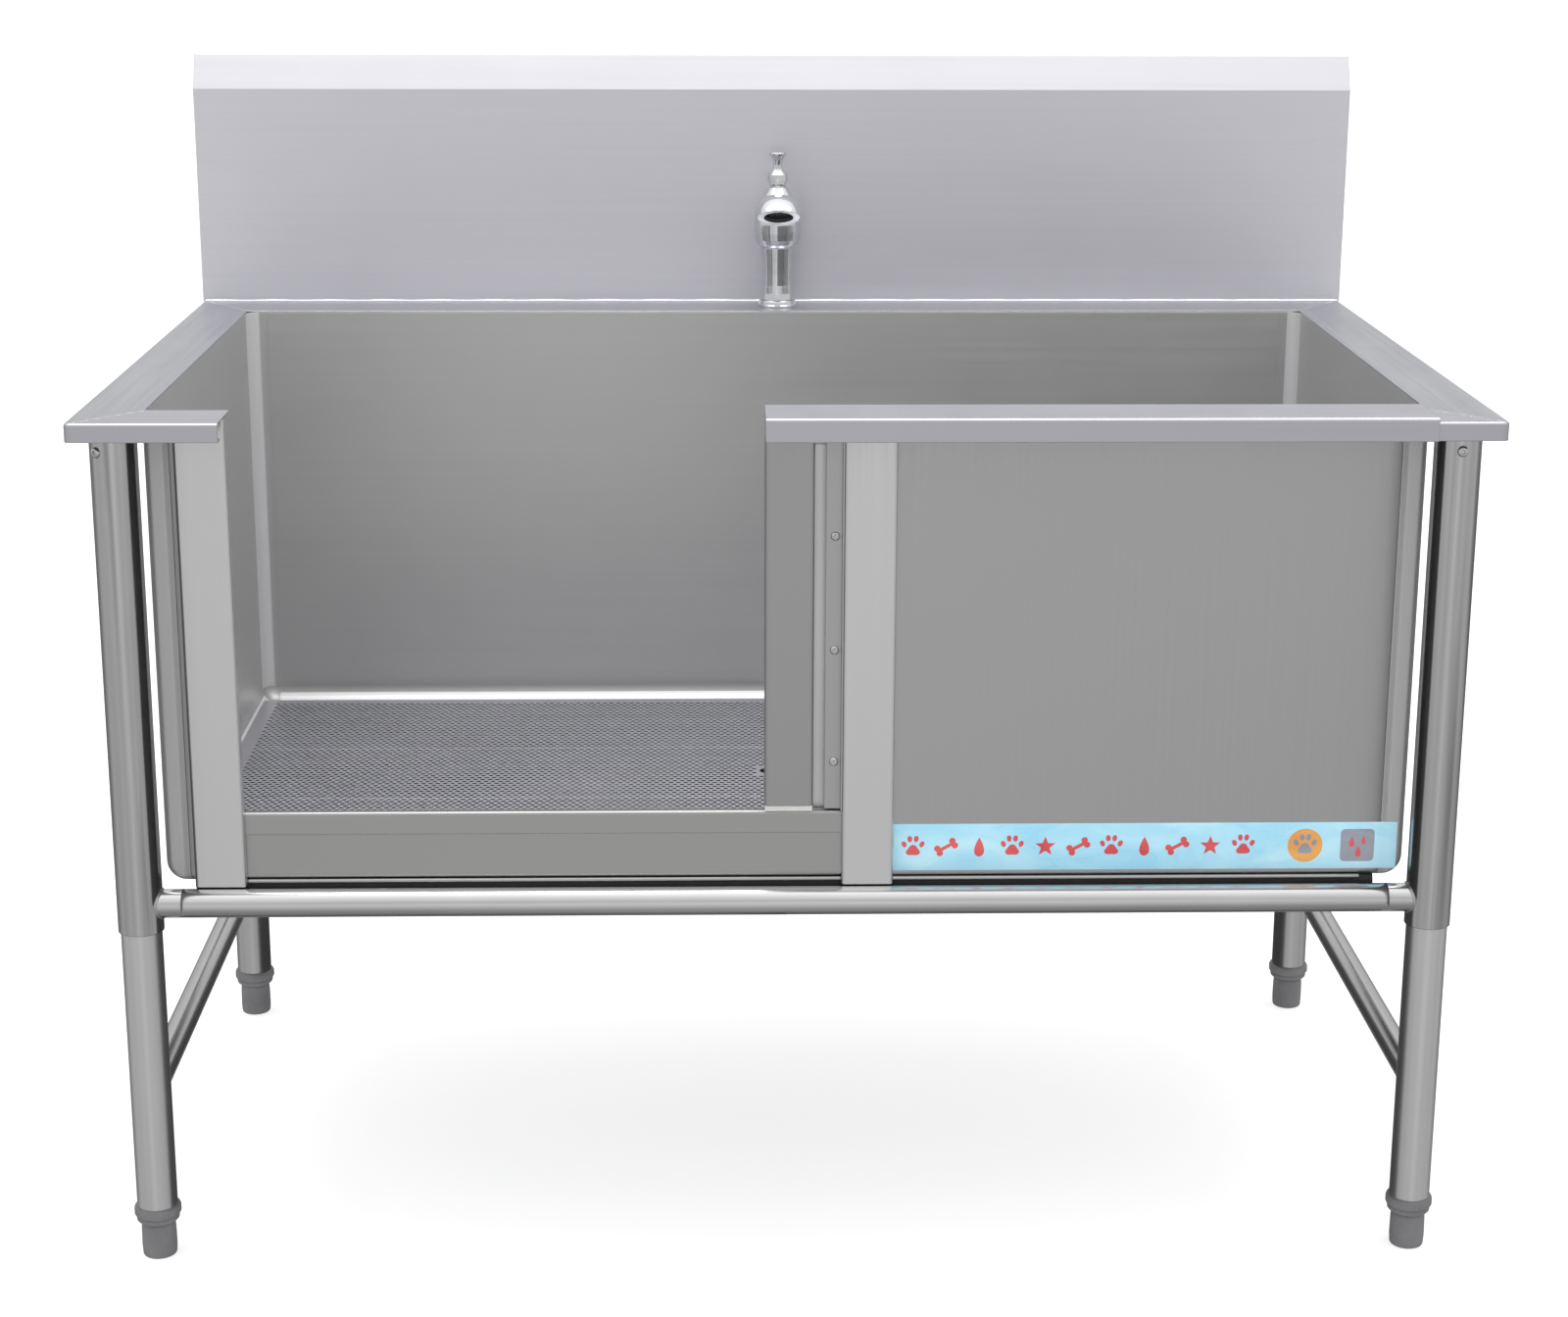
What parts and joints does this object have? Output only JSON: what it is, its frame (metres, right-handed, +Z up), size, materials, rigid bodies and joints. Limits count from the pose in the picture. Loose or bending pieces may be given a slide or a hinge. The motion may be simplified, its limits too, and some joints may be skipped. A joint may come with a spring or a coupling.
{
  "type": "pet bathtub",
  "caption": "Raised stainless step-in pet bath: tub on tube legs, sliding front door, perforated lift-out floor, splash panel, pillar tap and waste.",
  "frame": {"origin": "on the floor, under the middle of the bath's footprint", "axes": "+X to the right seen from the front, +Y to the splash panel at the back, +Z up"},
  "size_m": [1.2, 0.713, 1.025],
  "materials": {
    "sheet_steel": "satin rolled stainless sheet, faint vertical grain",
    "rim_steel": "satin stainless, brushed along each piece",
    "splash_steel": "satin stainless, even soft sheen",
    "perforated_steel": "perforated stainless sheet, satin",
    "tube_steel": "polished stainless tube",
    "tube_satin": "satin stainless tube",
    "foot_grey": "moulded grey nylon, slight sheen",
    "screw_steel": "bright stainless screw",
    "nylon_white": "natural nylon",
    "seal_rubber": "black EPDM, matt",
    "drain_steel": "pressed stainless waste fitting",
    "nylon_black": "moulded black plastic",
    "tap_chrome": "bright chrome plate",
    "tap_brass": "machined brass",
    "strip_blue": "printed light blue film with plain red motifs"
  },
  "bodies": {
    "bath": {"back_deck": "rim_steel", "drain_flange": "drain_steel", "drain_gasket": "seal_rubber", "drain_locknut": "nylon_black", "drain_tailpiece": "drain_steel", "front_panel_left": "sheet_steel", "front_panel_right": "sheet_steel", "guide_angle": "sheet_steel", "guide_pad": "nylon_white", "guide_screws": "screw_steel", "info_strip": "strip_blue", "leg_inserts": "foot_grey", "leg_lower_front_left": "tube_satin", "leg_lower_front_right": "tube_satin", "leg_lower_rear_left": "tube_satin", "leg_lower_rear_right": "tube_satin", "leg_sockets": "tube_steel", "leg_upper_front_left": "tube_steel", "leg_upper_front_right": "tube_steel", "leg_upper_rear_left": "tube_steel", "leg_upper_rear_right": "tube_steel", "post_left": "rim_steel", "post_right": "rim_steel", "rail_front": "tube_steel", "rail_rear": "tube_steel", "rim_front_left": "rim_steel", "rim_front_right": "rim_steel", "rim_glides": "nylon_white", "rim_left": "rim_steel", "rim_right": "rim_steel", "set_screws": "screw_steel", "sill_cap": "rim_steel", "sill_panel": "sheet_steel", "sill_seal": "seal_rubber", "splash_ends": "splash_steel", "splash_panel": "splash_steel", "stretcher_left": "tube_steel", "stretcher_right": "tube_steel", "tap_base_ring": "tap_chrome", "tap_column": "tap_chrome", "tap_locknut": "tap_brass", "tub_back_wall": "sheet_steel", "tub_floor": "sheet_steel", "tub_side_left": "sheet_steel", "tub_side_right": "sheet_steel"},
    "door": {"door_cap": "rim_steel", "door_sheet": "sheet_steel", "door_edge_box": "rim_steel", "door_shoe": "nylon_white"},
    "grate_left": {"floor_grate_left": "perforated_steel"},
    "grate_right": {"floor_grate_right": "perforated_steel"},
    "spout": {"tap_head": "tap_chrome", "tap_aerator": "tap_chrome", "tap_bonnet": "tap_chrome", "tap_cartridge": "nylon_black"},
    "lever": {"tap_lever": "tap_chrome"},
    "foot_front_left": {"foot_front_left": "foot_grey"},
    "foot_front_right": {"foot_front_right": "foot_grey"},
    "foot_rear_left": {"foot_rear_left": "foot_grey"},
    "foot_rear_right": {"foot_rear_right": "foot_grey"}
  },
  "joints": [
    {"name": "door_slide", "type": "slide", "parent": "bath", "child": "door", "axis": [-1, 0, 0], "range_m": [0, 0.452]},
    {"name": "grate_left_lift", "type": "slide", "parent": "bath", "child": "grate_left", "axis": [0, 0, 1], "range_m": [0, 0.42]},
    {"name": "grate_right_lift", "type": "slide", "parent": "bath", "child": "grate_right", "axis": [0, 0, 1], "range_m": [0, 0.42]},
    {"name": "spout_swivel", "type": "hinge", "parent": "bath", "child": "spout", "pos_m": [0.003, 0.302, 0.858], "axis": [0, 0, 1], "range_deg": [-50, 50]},
    {"name": "lever_tilt", "type": "hinge", "parent": "spout", "child": "lever", "pos_m": [0.003, 0.302, 0.897], "axis": [1, 0, 0], "range_deg": [0, 25]},
    {"name": "foot_front_left_adjust", "type": "slide", "parent": "bath", "child": "foot_front_left", "axis": [0, 0, -1], "range_m": [0, 0.025]},
    {"name": "foot_front_right_adjust", "type": "slide", "parent": "bath", "child": "foot_front_right", "axis": [0, 0, -1], "range_m": [0, 0.025]},
    {"name": "foot_rear_left_adjust", "type": "slide", "parent": "bath", "child": "foot_rear_left", "axis": [0, 0, -1], "range_m": [0, 0.025]},
    {"name": "foot_rear_right_adjust", "type": "slide", "parent": "bath", "child": "foot_rear_right", "axis": [0, 0, -1], "range_m": [0, 0.025]}
  ]
}
